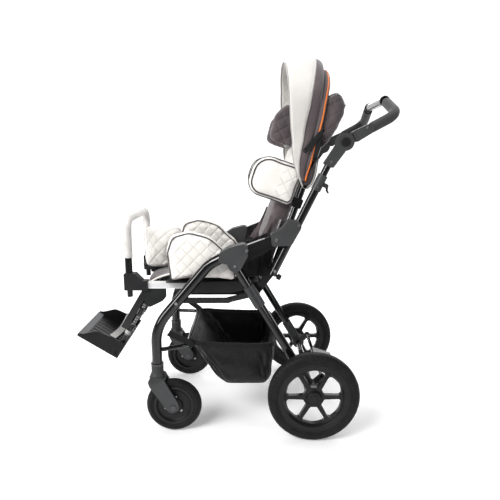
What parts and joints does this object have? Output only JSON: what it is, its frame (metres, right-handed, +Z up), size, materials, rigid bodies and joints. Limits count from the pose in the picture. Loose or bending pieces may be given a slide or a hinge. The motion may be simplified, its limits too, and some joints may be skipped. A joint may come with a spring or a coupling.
{
  "type": "special needs stroller",
  "caption": "Folding special needs stroller with padded seat, pommel, hip and trunk supports, reclining back with hood, footrest, bumper bar, basket and turning push handle.",
  "frame": {"origin": "bottom centre of the stroller on the floor", "axes": "+Z up, -X to the front of the stroller, -Y to its left side"},
  "size_m": [1.0304, 0.5676, 1.1984],
  "materials": {
    "black_tube": "gloss powder coat",
    "grey_casting": "satin grey",
    "bright_metal": "polished",
    "bolt_steel": "satin",
    "black_plastic": "fine grain",
    "bumper_foam": "closed-cell foam",
    "grip_foam": "closed-cell foam",
    "light_fabric": "quilted",
    "mauve_fabric": "quilted",
    "basket_nylon": "woven nylon",
    "tyre": "matt",
    "rim": "moulded"
  },
  "bodies": {
    "frame": {"front_legs": "black_tube", "side_hubs": "grey_casting", "armrest_bars": "black_tube", "handle_brackets": "grey_casting", "handle_posts": "black_tube", "height_clamps": "grey_casting", "cross_tubes": "black_tube", "frame_bolts": "bolt_steel", "seat_bars": "black_tube", "rail_sleeves": "black_plastic", "seat_pan": "black_plastic", "seat_cushion": "mauve_fabric", "hip_guide_left": "light_fabric", "hip_guide_right": "light_fabric", "pommel": "light_fabric", "basket": "basket_nylon"},
    "rear_frame": {"rear_legs": "black_tube", "leg_castings": "grey_casting"},
    "knee_front": {"knee_link_front": "black_tube"},
    "knee_rear": {"knee_link_rear": "black_tube"},
    "brake": {"brake_bar": "black_tube"},
    "handle_tubes": {"handle_inner_tubes": "bright_metal", "pivot_housings": "grey_casting"},
    "handle": {"handle_bar": "black_tube", "handle_castings": "grey_casting", "handle_grips": "grip_foam"},
    "backrest": {"back_frame": "black_tube", "back_cushion": "mauve_fabric", "back_bag": "mauve_fabric"},
    "head_support": {"head_pad": "mauve_fabric"},
    "hood_front": {"hood_visor": "light_fabric"},
    "hood_middle": {"hood_canopy": "mauve_fabric"},
    "hood_knee_rear": {"hood_lever_rear": "grey_casting"},
    "hood_knee_front": {"hood_lever_front": "grey_casting"},
    "seat_slide": {"seat_rails": "bright_metal", "bumper_sockets": "black_plastic", "footrest_plates": "grey_casting"},
    "bumper": {"bumper_bar": "black_tube", "bumper_foam": "bumper_foam"},
    "footrest": {"footrest_hanger": "black_tube"},
    "foot_rods": {"footrest_rods": "bright_metal"},
    "foot_tray": {"footplate": "black_plastic"},
    "rear_wheel_left": {"rear_tyre_left": "tyre", "rear_rim_left": "rim"},
    "caster_left": {"caster_fork_left": "grey_casting", "caster_pins_left": "bolt_steel"},
    "caster_wheel_left": {"caster_tyre_left": "tyre", "caster_rim_left": "rim"},
    "button_left": {"pivot_button_left": "black_plastic"},
    "clamp_lever_left": {"clamp_lever_left": "black_plastic"},
    "trunk_left": {"trunk_support_left": "light_fabric"},
    "rear_wheel_right": {"rear_tyre_right": "tyre", "rear_rim_right": "rim"},
    "caster_right": {"caster_fork_right": "grey_casting", "caster_pins_right": "bolt_steel"},
    "caster_wheel_right": {"caster_tyre_right": "tyre", "caster_rim_right": "rim"},
    "button_right": {"pivot_button_right": "black_plastic"},
    "clamp_lever_right": {"clamp_lever_right": "black_plastic"},
    "trunk_right": {"trunk_support_right": "light_fabric"}
  },
  "joints": [
    {"name": "frame_fold", "type": "hinge", "parent": "frame", "child": "rear_frame", "pos_m": [0.02299, 0, 0.558], "axis": [0, 1, 0], "range_deg": [0, 40]},
    {"name": "knee_front", "type": "hinge", "parent": "frame", "child": "knee_front", "pos_m": [-0.16147, 0, 0.437], "axis": [0, 1, 0], "range_deg": [0, 28.36]},
    {"name": "knee_rear", "type": "hinge", "parent": "rear_frame", "child": "knee_rear", "pos_m": [0.08305, 0, 0.45759], "axis": [0, 1, 0], "range_deg": [-99.9, 0]},
    {"name": "rear_wheel_left", "type": "hinge", "parent": "rear_frame", "child": "rear_wheel_left", "pos_m": [0.26999, -0.261, 0.145], "axis": [0, 1, 0], "continuous": true},
    {"name": "caster_swivel_left", "type": "hinge", "parent": "frame", "child": "caster_left", "pos_m": [-0.23001, -0.205, 0.229], "axis": [0, 0, 1], "continuous": true},
    {"name": "caster_wheel_left", "type": "hinge", "parent": "caster_left", "child": "caster_wheel_left", "pos_m": [-0.17901, -0.205, 0.09], "axis": [0, 1, 0], "continuous": true},
    {"name": "rear_wheel_right", "type": "hinge", "parent": "rear_frame", "child": "rear_wheel_right", "pos_m": [0.26999, 0.261, 0.145], "axis": [0, 1, 0], "continuous": true},
    {"name": "caster_swivel_right", "type": "hinge", "parent": "frame", "child": "caster_right", "pos_m": [-0.23001, 0.205, 0.229], "axis": [0, 0, 1], "continuous": true},
    {"name": "caster_wheel_right", "type": "hinge", "parent": "caster_right", "child": "caster_wheel_right", "pos_m": [-0.17901, 0.205, 0.09], "axis": [0, 1, 0], "continuous": true},
    {"name": "handle_height", "type": "slide", "parent": "frame", "child": "handle_tubes", "axis": [0.4384, 0, 0.8988], "range_m": [-0.025, 0.09]},
    {"name": "handle_angle", "type": "hinge", "parent": "handle_tubes", "child": "handle", "pos_m": [0.34995, 0, 0.93001], "axis": [0, 1, 0], "range_deg": [-25, 70]},
    {"name": "pivot_button_left", "type": "slide", "parent": "handle_tubes", "child": "button_left", "axis": [0, 1, 0], "range_m": [0, 0.004], "stiffness_N_per_m": 600, "springref_m": -0.002},
    {"name": "clamp_lever_left", "type": "hinge", "parent": "frame", "child": "clamp_lever_left", "pos_m": [0.29863, -0.205, 0.80083], "axis": [0, -1, 0], "range_deg": [0, 60]},
    {"name": "pivot_button_right", "type": "slide", "parent": "handle_tubes", "child": "button_right", "axis": [0, -1, 0], "range_m": [0, 0.004], "stiffness_N_per_m": 600, "springref_m": -0.002},
    {"name": "clamp_lever_right", "type": "hinge", "parent": "frame", "child": "clamp_lever_right", "pos_m": [0.29863, 0.205, 0.80083], "axis": [0, -1, 0], "range_deg": [0, 60]},
    {"name": "recline", "type": "hinge", "parent": "frame", "child": "backrest", "pos_m": [0.14601, 0, 0.54038], "axis": [0, 1, 0], "range_deg": [-15, 10]},
    {"name": "trunk_height_left", "type": "slide", "parent": "backrest", "child": "trunk_left", "axis": [0.3322, 0, 0.9432], "range_m": [-0.04, 0.025]},
    {"name": "trunk_height_right", "type": "slide", "parent": "backrest", "child": "trunk_right", "axis": [0.3322, 0, 0.9432], "range_m": [-0.04, 0.025]},
    {"name": "head_height", "type": "slide", "parent": "backrest", "child": "head_support", "axis": [0.3322, 0, 0.9432], "range_m": [-0.03, 0.06]},
    {"name": "hood_open", "type": "hinge", "parent": "backrest", "child": "hood_front", "pos_m": [0.23689, 0, 0.79845], "axis": [0, -1, 0], "range_deg": [0, 70]},
    {"name": "hood_middle", "type": "hinge", "parent": "backrest", "child": "hood_middle", "pos_m": [0.23689, 0, 0.79845], "axis": [0, -1, 0], "range_deg": [0, 35]},
    {"name": "hood_knee_rear", "type": "hinge", "parent": "backrest", "child": "hood_knee_rear", "pos_m": [0.26592, 0, 0.88088], "axis": [0, -1, 0], "range_deg": [0, 102.67]},
    {"name": "hood_knee_front", "type": "hinge", "parent": "hood_front", "child": "hood_knee_front", "pos_m": [0.23689, 0, 0.90545], "axis": [0, -1, 0], "range_deg": [-77.93, 0]},
    {"name": "seat_depth", "type": "slide", "parent": "frame", "child": "seat_slide", "axis": [-1, 0, 0], "range_m": [0, 0.06]},
    {"name": "bumper_lift", "type": "slide", "parent": "seat_slide", "child": "bumper", "axis": [0, 0, 1], "range_m": [0, 0.05]},
    {"name": "footrest_angle", "type": "hinge", "parent": "seat_slide", "child": "footrest", "pos_m": [-0.26301, 0, 0.44], "axis": [0, 1, 0], "range_deg": [0, 60]},
    {"name": "footrest_length", "type": "slide", "parent": "footrest", "child": "foot_rods", "axis": [-0.515, 0, -0.8572], "range_m": [0, 0.06]},
    {"name": "footplate_flip", "type": "hinge", "parent": "foot_rods", "child": "foot_tray", "pos_m": [-0.38816, 0, 0.23171], "axis": [0, 1, 0], "range_deg": [0, 65]},
    {"name": "brake_pedal", "type": "hinge", "parent": "rear_frame", "child": "brake", "pos_m": [0.30599, 0, 0.178], "axis": [0, 1, 0], "range_deg": [0, 18]}
  ],
  "couplings": [
    {"joint": "knee_front", "follows": "frame_fold", "ratio": 0.70903},
    {"joint": "knee_rear", "follows": "frame_fold", "ratio": -2.4975},
    {"joint": "hood_middle", "follows": "hood_open", "ratio": 0.5},
    {"joint": "hood_knee_rear", "follows": "hood_open", "ratio": 1.4667},
    {"joint": "hood_knee_front", "follows": "hood_open", "ratio": -1.1133}
  ]
}
